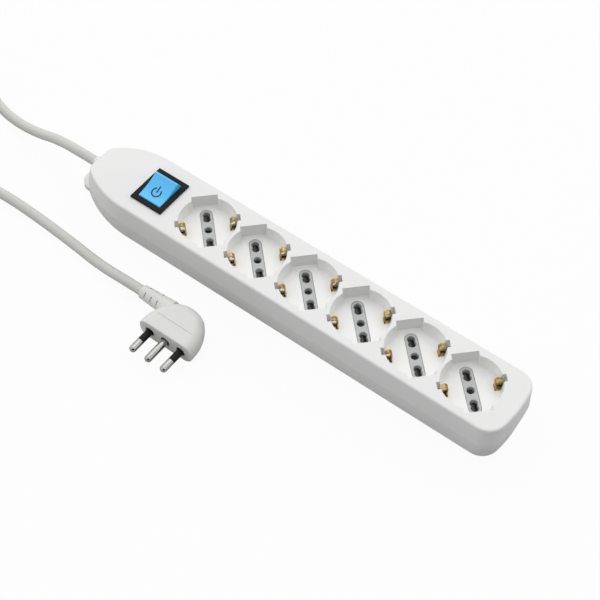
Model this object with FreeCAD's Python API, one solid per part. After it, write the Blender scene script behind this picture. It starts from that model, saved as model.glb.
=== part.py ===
"""Six-way power strip with a lit rocker switch, a round lead and an angled three-pin plug.

Millimetres.  +X runs along the strip to its free end, +Y across it, +Z up.  The origin is the
middle of the strip's underside, with the hanging ear counted in its length.
"""
import FreeCAD, Part
import math
import os

V = FreeCAD.Vector

# ---------------------------------------------------------------- driving dimensions
# strip body
base_height = 18.4          # underside to parting line
cover_height = 17.6         # parting line to top face
seam_half_width = 26.4
cover_draft = 0.4           # the cover's walls lean in by this from parting line to top
base_draft = 2.2            # the base's side walls lean in by this from parting line to underside
base_end_draft = 3.4        # the same at the free end
wall = 2.0
top_wall = 2.0
floor_wall = 2.2
top_edge_round = 1.4
bottom_edge_round = 2.2
end_corner_radius = 13.0
end_bow_radius = 95.0
nose_corner_radius = 8.0
nose_top_taper_radius = 62.0
nose_seam_taper_radius = 74.0
nose_bottom_taper_radius = 84.0
nose_taper_length = 41.0    # from the start of the taper to the flat nose, at the top face
nose_flare_cover = 4.0      # the nose stands out by this between top face and parting line
nose_flare_base = 5.4       # and by this between parting line and underside
nose_crown_drop = 2.6       # the top face curves down by this at the nose
nose_crown_length = 24.0
seam_chamfer = 0.3          # the fine groove along the parting line
lip_height = 2.0
lip_thickness = 0.9
lip_clearance = 0.12

# hanging ear
ear_radius = 8.6
ear_thickness = 4.0
ear_hole_radius = 2.5
ear_reach = 7.6             # from the base's nose to the ear's tip

# places along the strip
socket_count = 6
socket_pitch = 42.15
end_margin = 34.9           # last socket centre to the free end at the parting line
switch_gap = 41.6           # switch centre to first socket centre
nose_gap = 54.5             # switch centre to flat nose at the top face

# socket recess
recess_radius = 20.0
recess_depth = 10.0
recess_floor_radius = 18.6
recess_floor_round = 1.6
recess_rim_round = 0.7
recess_wall = 1.5
notch_width = 18.0
notch_length = 43.6
window_end_gap = 22.7       # outermost socket centres to the ends of the cover's window
window_half = 24.0          # half width of the window that the six wells fill
socket_turn = -45.0         # the pin line runs at this angle to the strip

# socket insert
insert_face_width = 8.4
insert_face_length = 35.0
insert_clearance = 0.18
insert_body_width = 21.6
insert_body_length = 36.4
insert_body_drop = 15.8     # recess floor to the insert's underside
insert_plate = 3.6
pin_hole_radius = 2.6
pin_inner_offset = 9.5      # 10 A and earthed round pins
pin_outer_offset = 13.0     # 16 A pins
pin_hole_bevel = 0.35

# shutter
shutter_height = 4.0
shutter_gap = 0.2
shutter_travel = 4.6
shutter_closed_edge = 1.9   # the closed shutter leaves a slit beside the hole's far edge
shutter_back_edge = 2.9
shutter_bridge = 1.4
shutter_pad_inner = 6.0
shutter_half_length = 15.6
shutter_ramp = 1.9
leaf_thickness = 0.3

# conductors
strip_thickness = 0.8
bar_width = 4.4
bar_offset = 6.8            # line and neutral bars, from the strip's middle line
bar_drop = 1.6              # insert's underside to the line and neutral bars' underside
earth_bar_level = 4.2
earth_bar_width = 5.2
bar_tail = 26.0             # bars reach this far back from the first socket's middle
contact_length = 8.4
contact_leaf = 0.6
contact_gap = 3.8
earth_sleeve_radius = 3.2
earth_pin_radius = 2.4

# side earth clips
clip_width = 4.8
clip_root_width = 3.7       # the hook narrows from this at its root
clip_tip_width = 1.9        # to this at its tip
clip_slot_width = 5.4
clip_slot_reach = 22.2
clip_inner_radius = 15.3
clip_outer_radius = 20.6
clip_riser_radius = 17.9
clip_height = 9.5           # hook's top above the recess floor
clip_sink = 3.2             # foot of the clip below the recess floor

# rocker switch
bezel_length_x = 26.2
bezel_length_y = 30.6
bezel_height = 1.7
switch_body_x = 21.6
switch_body_y = 27.4
switch_body_drop = 19.0     # below the top face
switch_clearance = 0.2
rocker_half_x = 9.55
rocker_side_gap = 0.22
rocker_radius = 11.7
rocker_pivot_drop = 3.3     # pivot axis below the bezel's top
rocker_corner_angle = 33.0
rocker_tilt = 17.0
rocker_foot_angle = 10.0
rocker_dish = 1.5
rocker_shell = 1.6
rocker_opening_half_y = 12.0
trunnion_radius = 1.5
trunnion_fit = 0.05
trunnion_length = 0.9
plunger_radius = 1.3
plunger_reach = 8.6         # pivot axis to the plunger's tip
pole_offset = 5.4           # the two poles, each side of the switch's middle
lever_width = 4.0
lever_thickness = 0.5
lever_rise = 14.3           # each arm rises at this angle from the lever's middle
lever_tilt = 5.0            # and the lever tips this far each way
lever_tail = 5.0
lever_shoulder = 6.6
contact_clearance = 0.05
tab_width = 6.3
tab_spread = 8.6            # distance of the front and rear tabs from the middle
tab_drop = 8.0

# lead
cord_diameter = 7.3
cord_rise = 7.6             # parting line to the lead's axis at the nose
core_diameter = 2.6
sheath_end_gap = 21.0       # flat nose to the end of the sheath inside

# gland and clamp
gland_neck_radius = 4.6
gland_flange_radius = 6.9
gland_fit = 0.1
gland_reach = 0.6
gland_tail = 6.4
clamp_thickness = 2.2
clamp_length = 8.0
clamp_gap = 12.0            # flat nose to the clamp's middle
clamp_screw_spread = 8.4

# housing screws
screw_radius = 1.5
screw_head_radius = 2.8
screw_head_height = 1.8
screw_fit = 0.05
screw_seat = 6.0
boss_radius = 3.5
boss_web = 2.4
screw_hole_depth = 14.0     # into a boss, from where it meets the base
screw_side_offset = 20.0
nose_screw_offset = 14.0
nose_screw_gap = 27.0
end_screw_gap = 8.5
end_screw_offset = 15.0

# plug
plug_pin_radius = 2.5
plug_pin_spacing = 13.0
plug_pin_length = 19.0
plug_sleeve_length = 9.5
plug_body_width = 44.0
plug_body_depth = 29.5
plug_body_thickness = 16.6
plug_face_depth = 3.0
plug_edge_round = 7.2
plug_face_round = 0.9
plug_groove_y = 10.5        # pin face to the fine groove across the top
plug_groove_width = 0.5
plug_groove_depth = 0.3
plug_carrier_radius = 3.6
plug_relief_length = 21.0
plug_relief_start = 6.4
plug_relief_end = 4.9
relief_slot_first = 4.8     # the lead's end of the strain relief to its first slots
relief_slot_pitch = 5.3
relief_slot_width = 0.9
relief_slot_length = 3.8
relief_slot_depth = 1.2
plug_place = (-39.8, -78.5)
plug_turn = 0.0

# ---------------------------------------------------------------- derived places
top_z = base_height + cover_height
recess_z = top_z - recess_depth
well_floor = 2.0
under_floor_z = recess_z - well_floor
insert_low_z = recess_z - insert_body_drop
bar_level = insert_low_z - bar_drop
cord_level = base_height + cord_rise
row_length = (socket_count - 1) * socket_pitch
nose_at_bottom = nose_flare_cover + nose_flare_base
total_length = end_margin + row_length + switch_gap + nose_gap + nose_at_bottom + ear_reach
x_end = total_length / 2
x_last = x_end - end_margin
x_first = x_last - row_length
x_switch = x_first - switch_gap
x_nose = x_switch - nose_gap
x_nose_seam = x_nose - nose_flare_cover
x_nose_low = x_nose_seam - nose_flare_base
x_taper = x_nose + nose_taper_length
x_ear = x_nose_low - ear_reach + ear_radius
socket_x = [x_first + i * socket_pitch for i in range(socket_count)]
chamber_high = recess_z - insert_plate
chamber_low = chamber_high - shutter_height - 2 * shutter_gap
bar_top = bar_level + strip_thickness


# ---------------------------------------------------------------- helpers
def block(x0, x1, y0, y1, z0, z1):
    return Part.makeBox(x1 - x0, y1 - y0, z1 - z0, V(x0, y0, z0))


def post(radius, z0, z1, x=0.0, y=0.0):
    return Part.makeCylinder(radius, z1 - z0, V(x, y, z0))


def rod_x(radius, x0, x1, y=0.0, z=0.0):
    return Part.makeCylinder(radius, x1 - x0, V(x0, y, z), V(1, 0, 0))


def joined(shapes):
    whole = shapes[0].multiFuse(shapes[1:])
    return whole.removeSplitter()


def group(shapes):
    return Part.makeCompound(shapes)


def moved(shape, x=0.0, y=0.0, z=0.0):
    copy = shape.copy()
    copy.translate(V(x, y, z))
    return copy


def turned(shape, angle, centre=V(0, 0, 0), axis=V(0, 0, 1)):
    copy = shape.copy()
    copy.rotate(centre, axis, angle)
    return copy


def at_socket(shape, x):
    """From the socket's own frame (pin line along local X) to its place in the row."""
    return moved(turned(shape, socket_turn), x)


def line(a, b):
    return Part.LineSegment(a, b).toShape()


def arc(a, mid, b):
    return Part.Arc(a, mid, b).toShape()


def stadium(length, width, z0, z1):
    half = (length - width) / 2
    r = width / 2
    edges = [
        line(V(-half, -r, z0), V(half, -r, z0)),
        arc(V(half, -r, z0), V(half + r, 0, z0), V(half, r, z0)),
        line(V(half, r, z0), V(-half, r, z0)),
        arc(V(-half, r, z0), V(-half - r, 0, z0), V(-half, -r, z0)),
    ]
    return Part.Face(Part.Wire(edges)).extrude(V(0, 0, z1 - z0))


def bent_strip(points, bend, thickness, width):
    """A flat strip bent along a polyline in XZ, each corner rounded, centred on Y = 0."""
    half = thickness / 2
    count = len(points)
    runs = []
    for i in range(count - 1):
        du = points[i + 1][0] - points[i][0]
        dv = points[i + 1][1] - points[i][1]
        size = math.hypot(du, dv)
        runs.append((du / size, dv / size))

    def side(offset):
        edges = []
        at = (points[0][0] - runs[0][1] * offset, points[0][1] + runs[0][0] * offset)
        for i in range(1, count - 1):
            a = runs[i - 1]
            b = runs[i]
            cross = a[0] * b[1] - a[1] * b[0]
            dot = a[0] * b[0] + a[1] * b[1]
            turn = math.atan2(cross, dot)
            sign = 1.0 if turn > 0 else -1.0
            back = bend * math.tan(abs(turn) / 2)
            p = points[i]
            t_in = (p[0] - a[0] * back, p[1] - a[1] * back)
            centre = (t_in[0] - a[1] * sign * bend, t_in[1] + a[0] * sign * bend)
            start = (t_in[0] - a[1] * offset, t_in[1] + a[0] * offset)
            t_out = (p[0] + b[0] * back, p[1] + b[1] * back)
            end = (t_out[0] - b[1] * offset, t_out[1] + b[0] * offset)
            to_p = math.hypot(p[0] - centre[0], p[1] - centre[1])
            r = bend - sign * offset
            mid = (centre[0] + (p[0] - centre[0]) / to_p * r, centre[1] + (p[1] - centre[1]) / to_p * r)
            edges.append(line(V(at[0], 0, at[1]), V(start[0], 0, start[1])))
            edges.append(arc(V(start[0], 0, start[1]), V(mid[0], 0, mid[1]), V(end[0], 0, end[1])))
            at = end
        last = points[-1]
        end = (last[0] - runs[-1][1] * offset, last[1] + runs[-1][0] * offset)
        edges.append(line(V(at[0], 0, at[1]), V(end[0], 0, end[1])))
        return edges

    left = side(half)
    right = side(-half)
    caps = [
        line(left[0].Vertexes[0].Point, right[0].Vertexes[0].Point),
        line(left[-1].Vertexes[-1].Point, right[-1].Vertexes[-1].Point),
    ]
    wire = Part.Wire(Part.__sortEdges__(left + right + caps))
    solid = Part.Face(wire).extrude(V(0, width, 0))
    return moved(solid, y=-width / 2)


def route_path(points):
    """Straight runs joined by tangent arcs, each as large as its two runs allow."""
    edges = []
    radii = []
    at = V(*points[0])
    for i in range(1, len(points) - 1):
        p = V(*points[i])
        a = p - V(*points[i - 1])
        b = V(*points[i + 1]) - p
        shorter = min(a.Length, b.Length)
        half_turn = a.getAngle(b) / 2
        back = 0.45 * shorter
        radius = back / math.tan(half_turn)
        a.normalize()
        b.normalize()
        start = p - a * back
        end = p + b * back
        inward = b - a
        inward.normalize()
        centre = p + inward * (radius / math.cos(half_turn))
        mid = centre - inward * radius
        edges.append(line(at, start))
        edges.append(arc(start, mid, end))
        radii.append(radius)
        at = end
    edges.append(line(at, V(*points[-1])))
    return edges, radii


def tube(points, diameter, name):
    edges, radii = route_path(points)
    path = Part.Wire(edges)
    start = V(*points[0])
    ahead = V(*points[1]) - start
    section = Part.Wire(Part.makeCircle(diameter / 2, start, ahead))
    solid = path.makePipeShell([section], True, False)
    expected = path.Length * math.pi * diameter ** 2 / 4
    print(name, "length", round(path.Length, 1), "volume ratio", round(solid.Volume / expected, 4))
    print(name, "radii in diameters", [round(r / diameter, 1) for r in radii])
    return solid


# ---------------------------------------------------------------- housing
def outline(z, half_width, nose_x, taper_radius, nose_corner, end_x, end_corner, bow):
    """Plan outline: flat nose, curved taper, straight sides and a slightly bowed free end."""
    bow_x = end_x - bow
    corner_y = half_width - end_corner
    corner_x = bow_x + math.sqrt((bow - end_corner) ** 2 - corner_y ** 2)
    ux = (corner_x - bow_x) / (bow - end_corner)
    uy = corner_y / (bow - end_corner)
    end_tangent = V(bow_x + ux * bow, uy * bow, z)
    lean = math.atan2(uy, ux) / 2 + math.pi / 4
    corner_mid = V(corner_x + end_corner * math.cos(lean), corner_y + end_corner * math.sin(lean), z)

    taper_y = half_width - taper_radius
    nose_cx = nose_x + nose_corner
    nose_cy = taper_y + math.sqrt((taper_radius - nose_corner) ** 2 - (nose_cx - x_taper) ** 2)
    vx = (nose_cx - x_taper) / (taper_radius - nose_corner)
    vy = (nose_cy - taper_y) / (taper_radius - nose_corner)
    nose_tangent = V(x_taper + vx * taper_radius, taper_y + vy * taper_radius, z)
    sweep = math.atan2(vy, vx)
    taper_turn = (sweep + math.pi / 2) / 2
    taper_mid = V(x_taper + taper_radius * math.cos(taper_turn),
                  taper_y + taper_radius * math.sin(taper_turn), z)
    nose_turn = (sweep + math.pi) / 2
    nose_mid = V(nose_cx + nose_corner * math.cos(nose_turn), nose_cy + nose_corner * math.sin(nose_turn), z)

    def flip(p):
        return V(p.x, -p.y, p.z)

    side_start = V(x_taper, half_width, z)
    side_end = V(corner_x, half_width, z)
    nose_flat = V(nose_x, nose_cy, z)
    edges = [
        line(side_start, side_end),
        arc(side_end, corner_mid, end_tangent),
        arc(end_tangent, V(end_x, 0, z), flip(end_tangent)),
        arc(flip(end_tangent), flip(corner_mid), flip(side_end)),
        line(flip(side_end), flip(side_start)),
        arc(flip(side_start), flip(taper_mid), flip(nose_tangent)),
        arc(flip(nose_tangent), flip(nose_mid), flip(nose_flat)),
        line(flip(nose_flat), nose_flat),
        arc(nose_flat, nose_mid, nose_tangent),
        arc(nose_tangent, taper_mid, side_start),
    ]
    return Part.Wire(edges)


def top_outline(inset, z):
    return outline(z, seam_half_width - cover_draft - inset, x_nose + inset, nose_top_taper_radius - inset,
                   nose_corner_radius - inset, x_end - cover_draft - inset, end_corner_radius - inset,
                   end_bow_radius - inset)


def seam_outline(inset, z):
    return outline(z, seam_half_width - inset, x_nose_seam + inset, nose_seam_taper_radius - inset,
                   nose_corner_radius - inset, x_end - inset, end_corner_radius - inset,
                   end_bow_radius - inset)


def bottom_outline(inset, z):
    return outline(z, seam_half_width - base_draft - inset, x_nose_low + inset,
                   nose_bottom_taper_radius - inset, nose_corner_radius - inset,
                   x_end - base_end_draft - inset, end_corner_radius - inset, end_bow_radius - inset)


def crown_cut(lower_by):
    """Everything above the curve by which the top face falls to the nose."""
    radius = (nose_crown_length ** 2 + nose_crown_drop ** 2) / (2 * nose_crown_drop)
    start_x = x_nose + nose_crown_length
    zt = top_z - lower_by
    reach = nose_crown_length + 4.0
    end = V(start_x - reach, -40, zt - radius + math.sqrt(radius ** 2 - reach ** 2))
    mid_reach = reach / 2
    mid = V(start_x - mid_reach, -40, zt - radius + math.sqrt(radius ** 2 - mid_reach ** 2))
    start = V(start_x, -40, zt)
    edges = [
        arc(start, mid, end),
        line(end, V(end.x, -40, zt + 10)),
        line(V(end.x, -40, zt + 10), V(start_x, -40, zt + 10)),
        line(V(start_x, -40, zt + 10), start),
    ]
    return Part.Face(Part.Wire(edges)).extrude(V(0, 80, 0))


def edges_at(shape, test):
    return [e for e in shape.Edges if test(e)]


def cover_block():
    solid = Part.makeLoft([seam_outline(0, base_height), top_outline(0, top_z)], True, True)
    solid = solid.cut(crown_cut(0))
    low = top_z - nose_crown_drop * 1.6

    def on_top(e):
        box = e.BoundBox
        return box.ZMin > low and (box.ZLength < 0.001 or box.XMax < x_nose + nose_crown_length + 0.01) \
            and not (abs(box.XLength) < 0.01 and box.XMin > x_nose + 2 and box.XMax < x_end - 30)

    return solid.makeFillet(top_edge_round, edges_at(solid, on_top))


def base_block():
    solid = Part.makeLoft([bottom_outline(0, 0), seam_outline(0, base_height)], True, True)
    flat = edges_at(solid, lambda e: e.BoundBox.ZMax < 0.001)
    solid = solid.makeFillet(bottom_edge_round, flat)
    groove_z = base_height - seam_chamfer
    rim = Part.makeLoft([seam_outline(0, groove_z), seam_outline(seam_chamfer, base_height)], True, True)
    around = block(-300, 300, -60, 60, groove_z, base_height + 1)
    return solid.cut(around.cut(rim))


def cover_cavity():
    rims = [seam_outline(wall, base_height - 1), top_outline(wall, top_z - top_wall)]
    solid = Part.makeLoft(rims, True, True)
    return solid.cut(crown_cut(top_wall))


def base_cavity():
    return Part.makeLoft([bottom_outline(wall, floor_wall), seam_outline(wall, base_height + 1)], True, True)


def recess_cutter():
    """One socket recess with its two flat-ended notches, in the socket's own frame."""
    floor_z = recess_z
    rim_z = top_z
    draft = (recess_radius - recess_floor_radius) / recess_depth
    wall_r = recess_floor_radius + draft * recess_floor_round
    rim_r = recess_radius - draft * recess_rim_round
    lift = recess_floor_round * 0.293
    rim_lift = recess_rim_round * 0.293
    high = rim_z + 1.0
    edges = [
        line(V(0, 0, floor_z), V(wall_r - recess_floor_round, 0, floor_z)),
        arc(V(wall_r - recess_floor_round, 0, floor_z), V(wall_r - lift, 0, floor_z + lift),
            V(wall_r, 0, floor_z + recess_floor_round)),
        line(V(wall_r, 0, floor_z + recess_floor_round), V(rim_r, 0, rim_z - recess_rim_round)),
        arc(V(rim_r, 0, rim_z - recess_rim_round), V(rim_r + rim_lift, 0, rim_z - rim_lift),
            V(rim_r + recess_rim_round, 0, rim_z)),
        line(V(rim_r + recess_rim_round, 0, rim_z), V(rim_r + recess_rim_round, 0, high)),
        line(V(rim_r + recess_rim_round, 0, high), V(0, 0, high)),
        line(V(0, 0, high), V(0, 0, floor_z)),
    ]
    bowl = Part.Face(Part.Wire(edges)).revolve(V(0, 0, 0), V(0, 0, 1), 360)
    half_l = notch_length / 2
    half_w = notch_width / 2
    low = Part.makePolygon([V(-half_l + 0.4, -half_w + 0.4, floor_z),
                            V(half_l - 0.4, -half_w + 0.4, floor_z),
                            V(half_l - 0.4, half_w - 0.4, floor_z), V(-half_l + 0.4, half_w - 0.4, floor_z),
                            V(-half_l + 0.4, -half_w + 0.4, floor_z)])
    top = Part.makePolygon([V(-half_l, -half_w, high), V(half_l, -half_w, high), V(half_l, half_w, high),
                            V(-half_l, half_w, high), V(-half_l, -half_w, high)])
    notch = Part.makeLoft([low, top], True, True)
    return joined([bowl, notch])


def clip_slots():
    """Openings for the two earth clips: a window in the floor and a slot up the wall."""
    half_w = clip_slot_width / 2
    inner = clip_inner_radius - strip_thickness / 2 - 0.15
    window = block(-half_w, half_w, inner, clip_slot_reach, under_floor_z - 1, recess_z + 1)
    slot = block(-half_w, half_w, recess_radius - 3.0, clip_slot_reach, recess_z - 0.5, top_z + 1)
    one = joined([window, slot])
    return one, turned(one, 180)


def well_block():
    """The recess's outer wall under the cover, in the socket's own frame."""
    bowl = post(recess_radius + recess_wall, under_floor_z, top_z - 0.5)
    half_l = notch_length / 2 + recess_wall
    half_w = notch_width / 2 + recess_wall
    box = block(-half_l, half_l, -half_w, half_w, under_floor_z, top_z - 0.5)
    half_c = clip_slot_width / 2 + recess_wall
    reach = clip_slot_reach + recess_wall
    ribs = block(-half_c, half_c, -reach, reach, under_floor_z, top_z - 0.5)
    return joined([bowl, box, ribs])


def screw_places():
    places = []
    for side in (-1, 1):
        places.append((x_nose + nose_screw_gap, side * nose_screw_offset))
        for i in range(1, socket_count - 1, 2):
            places.append(((socket_x[i] + socket_x[i + 1]) / 2, side * screw_side_offset))
        places.append((x_end - end_screw_gap, side * end_screw_offset))
    return places


seat_z = screw_seat
boss_meet_z = screw_seat + 3.2
gland_slot_half = gland_neck_radius + gland_fit


def gland_bore(extra):
    return rod_x(gland_neck_radius + gland_fit + extra, x_nose_seam - 12, x_nose + 8, 0, cord_level)


def window_box():
    """The long opening in the cover that the six wells are welded into."""
    return block(x_first - window_end_gap, x_last + window_end_gap, -window_half, window_half,
                 under_floor_z, top_z + 1)


def cover_bosses():
    """Screw bosses: tall ones at the ends, and short ones webbed to the side walls."""
    outer = cover_block()
    inside = base_cavity()
    below = block(-300, 300, -40, 40, boss_meet_z, base_height + 0.01)
    bosses = []
    for x, y in screw_places():
        beside = abs(y) == screw_side_offset
        high = under_floor_z if beside else top_z - top_wall / 2
        boss = post(boss_radius, boss_meet_z, high, x, y)
        bosses.append(boss.common(outer))
        bosses.append(boss.common(below).common(inside))
        if beside:
            y0, y1 = sorted((y, math.copysign(seam_half_width, y)))
            web = block(x - boss_web / 2, x + boss_web / 2, y0, y1, base_height + lip_height + 0.25, high)
            bosses.append(web.common(outer))
    return bosses


def make_top_cover():
    solid = joined([cover_block().cut(cover_cavity())] + cover_bosses())
    cutters = [window_box()]
    for x, y in screw_places():
        cutters.append(post(screw_radius + screw_fit, boss_meet_z - 1, boss_meet_z + screw_hole_depth, x, y))
    half_x = switch_body_x / 2 + switch_clearance
    half_y = switch_body_y / 2 + switch_clearance
    cutters.append(block(x_switch - half_x, x_switch + half_x, -half_y, half_y, top_z - 6, top_z + 1))
    slot = block(x_nose_seam - 6, x_nose + 6, -gland_slot_half, gland_slot_half, base_height - 1, cord_level)
    cutters.append(slot)
    cutters.append(gland_bore(0))
    cutters.append(lip_ring(lip_clearance, base_height - 1.2, base_height + lip_height + 0.25))
    for cutter in cutters:
        solid = solid.cut(cutter)
    return solid


def make_well(i):
    """One white socket well, flush with the cover's top: deck, bowl, notches and clip pockets."""
    x = socket_x[i]
    x0 = (socket_x[i - 1] + x) / 2 if i else x - window_end_gap
    x1 = (socket_x[i + 1] + x) / 2 if i + 1 < socket_count else x + window_end_gap
    region = block(x0, x1, -window_half, window_half, under_floor_z, top_z)
    deck = block(x0, x1, -window_half, window_half, top_z - top_wall, top_z)
    near = [n for n in socket_x if abs(n - x) < socket_pitch * 1.5]
    solid = joined([deck] + [at_socket(well_block(), n).common(region) for n in near])
    for n in near:
        solid = solid.cut(at_socket(recess_cutter(), n))
        for slot in clip_slots():
            solid = solid.cut(at_socket(slot, n))
        hole = stadium(insert_face_length + 2 * insert_clearance, insert_face_width + 2 * insert_clearance,
                       under_floor_z - 1, recess_z + 1)
        solid = solid.cut(at_socket(hole, n))
    return max(solid.Solids, key=lambda piece: piece.Volume)


def lip_ring(grow, z0, z1):
    """The tongue round the base's rim that steps inside the cover; it stops short of the nose."""
    outer = Part.Face(seam_outline(wall - lip_thickness - grow, z0)).extrude(V(0, 0, z1 - z0))
    inner = Part.Face(seam_outline(wall + 0.6, z0)).extrude(V(0, 0, z1 - z0))
    ring = outer.cut(inner)
    return ring.common(block(x_taper - grow, x_end + 5, -40, 40, z0, z1))


def cradle_places():
    """Posts that carry each insert, in the socket's own frame."""
    along = insert_body_length / 2 - 2.6
    across = insert_body_width / 2 - 3.4
    return [(along, -across), (-along, across)]


def make_base_cover():
    outer = base_block()
    shell = outer.cut(base_cavity())
    ear = post(ear_radius, 0, ear_thickness, x_ear)
    web = block(x_ear, x_nose_low + 8, -ear_radius, ear_radius, 0, ear_thickness)
    parts = [shell, ear, web.common(joined([outer, post(ear_radius * 1.2, 0, ear_thickness, x_ear)]))]
    ring = lip_ring(0, base_height - 1, base_height + lip_height)
    lip_face = Part.Face(seam_outline(wall - lip_thickness, base_height - 1))
    parts.append(ring.common(lip_face.extrude(V(0, 0, 8))))
    tab = cover_block().cut(cover_cavity())
    gap = 0.15
    tab_box = block(x_nose_seam - 6, x_nose + 6, -gland_slot_half + gap, gland_slot_half - gap,
                    base_height, cord_level)
    parts.append(tab.common(tab_box).cut(gland_bore(0)))
    rims = [bottom_outline(wall / 2, floor_wall / 2), seam_outline(wall / 2, base_height + 1)]
    inside_wall = Part.makeLoft(rims, True, True)
    for x, y in screw_places():
        parts.append(post(boss_radius + 0.6, floor_wall / 2, boss_meet_z, x, y).common(inside_wall))
    for x in socket_x:
        for px, py in cradle_places():
            parts.append(at_socket(post(2.2, floor_wall - 0.5, insert_low_z, px, py), x))
    rib_half = 0.8
    rib_places = [(a + b) / 2 for a, b in zip(socket_x, socket_x[1:])]
    for x in rib_places:
        reach = bar_offset + bar_width / 2 + 1.0
        parts.append(block(x - rib_half, x + rib_half, -reach, reach, floor_wall - 0.5, earth_bar_level))
        for side in (-1, 1):
            y0 = side * (bar_offset - bar_width / 2)
            y1 = side * (bar_offset + bar_width / 2)
            parts.append(block(x - rib_half, x + rib_half, min(y0, y1), max(y0, y1), floor_wall, bar_level))
    saddle_x = x_nose + clamp_gap
    half_c = clamp_length / 2
    pillar = block(saddle_x - half_c, saddle_x + half_c, -clamp_screw_spread - 3, clamp_screw_spread + 3,
                   floor_wall - 0.5, cord_level)
    pillar = pillar.cut(rod_x(cord_diameter / 2 + 0.02, saddle_x - 10, saddle_x + 10, 0, cord_level))
    parts.append(pillar)
    solid = joined(parts)
    solid = solid.cut(post(ear_hole_radius, -1, ear_thickness + 1, x_ear))
    for x, y in screw_places():
        solid = solid.cut(post(screw_head_radius + 0.3, -1, seat_z, x, y))
        solid = solid.cut(post(screw_radius + 0.25, seat_z - 1, boss_meet_z + 1, x, y))
    for side in (-1, 1):
        hole = post(screw_radius + screw_fit, cord_level - 9, cord_level + 1, saddle_x,
                    side * clamp_screw_spread)
        solid = solid.cut(hole)
    return solid


def make_housing_screws():
    screws = []
    for x, y in screw_places():
        head = post(screw_head_radius, seat_z - screw_head_height, seat_z, x, y)
        drive = post(1.2, seat_z - screw_head_height - 1, seat_z - 0.7, x, y)
        shank = post(screw_radius, seat_z - 0.2, boss_meet_z + 11, x, y)
        tip = Part.makeCone(screw_radius, 0.3, 1.6, V(x, y, boss_meet_z + 11))
        screws.append(joined([head, shank, tip]).cut(drive))
    return group(screws)


# ---------------------------------------------------------------- sockets
def rounded_block(length, width, corner, z0, z1):
    solid = block(-length / 2, length / 2, -width / 2, width / 2, z0, z1)
    upright = edges_at(solid, lambda e: e.BoundBox.ZLength > (z1 - z0) * 0.9)
    return solid.makeFillet(corner, upright)


def pin_holes(z0, z1, radius):
    holes = [post(radius, z0, z1)]
    for side in (-1, 1):
        for offset in (pin_inner_offset, pin_outer_offset):
            holes.append(post(radius, z0, z1, side * offset))
    return joined(holes)


def pin_bevels():
    cones = []
    low = recess_z - pin_hole_bevel
    for offset in (0, pin_inner_offset, -pin_inner_offset, pin_outer_offset, -pin_outer_offset):
        cones.append(Part.makeCone(pin_hole_radius, pin_hole_radius + pin_hole_bevel + 0.02,
                                   pin_hole_bevel + 0.02, V(offset, 0, low)))
    return joined(cones)


shutter_far = shutter_back_edge + shutter_bridge
chamber_back = -(shutter_far + shutter_travel + leaf_thickness + 0.15)
chamber_front = pin_hole_radius + 0.1
contact_middle = (pin_inner_offset + pin_outer_offset) / 2


def make_insert():
    """Grey block flush with the recess floor: pin holes, shutter chamber and contact pockets."""
    face = stadium(insert_face_length, insert_face_width, under_floor_z - 0.01, recess_z)
    rim = edges_at(face, lambda e: e.BoundBox.ZMin > recess_z - 0.001)
    face = face.makeChamfer(0.3, rim)
    body = rounded_block(insert_body_length, insert_body_width, 2.0, insert_low_z, under_floor_z)
    solid = joined([face, body])
    solid = solid.cut(pin_holes(chamber_high - 1, recess_z + 1, pin_hole_radius))
    solid = solid.cut(pin_bevels())
    reach = shutter_half_length + shutter_gap
    solid = solid.cut(block(-reach, reach, chamber_back, chamber_front, chamber_low, chamber_high))
    pocket_half = contact_length / 2 + 0.5
    for side in (-1, 1):
        x0 = side * contact_middle - pocket_half
        x1 = side * contact_middle + pocket_half
        solid = solid.cut(block(x0, x1, -4.3, 4.3, insert_low_z - 1, chamber_low + 0.01))
    solid = solid.cut(post(earth_sleeve_radius + 0.3, insert_low_z - 1, chamber_low + 0.01))
    return solid


def make_shutter():
    """Spring-loaded slider: a pad with a ramp under each line hole and a bridge behind them."""
    z0 = chamber_low + shutter_gap
    z1 = z0 + shutter_height
    half = shutter_half_length
    bridge = block(-half, half, -shutter_far, -shutter_back_edge, z0, z1)
    ramp_y = shutter_closed_edge - shutter_ramp
    profile = Part.makePolygon([
        V(0, -shutter_back_edge - 0.01, z0), V(0, shutter_closed_edge, z0),
        V(0, shutter_closed_edge, z1 - shutter_ramp), V(0, ramp_y, z1),
        V(0, -shutter_back_edge - 0.01, z1), V(0, -shutter_back_edge - 0.01, z0)])
    face = Part.Face(profile)
    pads = []
    for x0 in (-half, shutter_pad_inner):
        pads.append(moved(face.extrude(V(half - shutter_pad_inner, 0, 0)), x=x0))
    return joined([bridge] + pads)


def make_shutter_leaf():
    """Bowed leaf spring between the chamber's back wall and the shutter's bridge."""
    wall_y = chamber_back + 0.01
    top_y = -shutter_far
    half = 11.0
    mid_z = (chamber_low + chamber_high) / 2
    z0 = mid_z - 1.5
    t = leaf_thickness
    edges = [
        arc(V(-half, wall_y, z0), V(0, top_y - t, z0), V(half, wall_y, z0)),
        line(V(half, wall_y, z0), V(half + t, wall_y + 0.0, z0)),
        arc(V(half + t, wall_y, z0), V(0, top_y, z0), V(-half - t, wall_y, z0)),
        line(V(-half - t, wall_y, z0), V(-half, wall_y, z0)),
    ]
    return Part.Face(Part.Wire(edges)).extrude(V(0, 0, 3.0))


def hook_trim(side):
    """What narrows one edge of the side clip above the recess floor, in the XY plane of the bracket."""
    root = side * clip_root_width / 2
    tip = side * clip_tip_width / 2
    wide = side * clip_width
    x0 = clip_inner_radius - 2.0
    x1 = clip_inner_radius + 1.0
    x2 = clip_inner_radius + 5.0
    low = recess_z + 0.4
    corners = [V(x0, root, low), V(x1, root, low), V(x2, tip, low), V(x2, wide, low), V(x0, wide, low)]
    return Part.Face(Part.makePolygon(corners + corners[:1])).extrude(V(0, 0, clip_height + 2))


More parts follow.
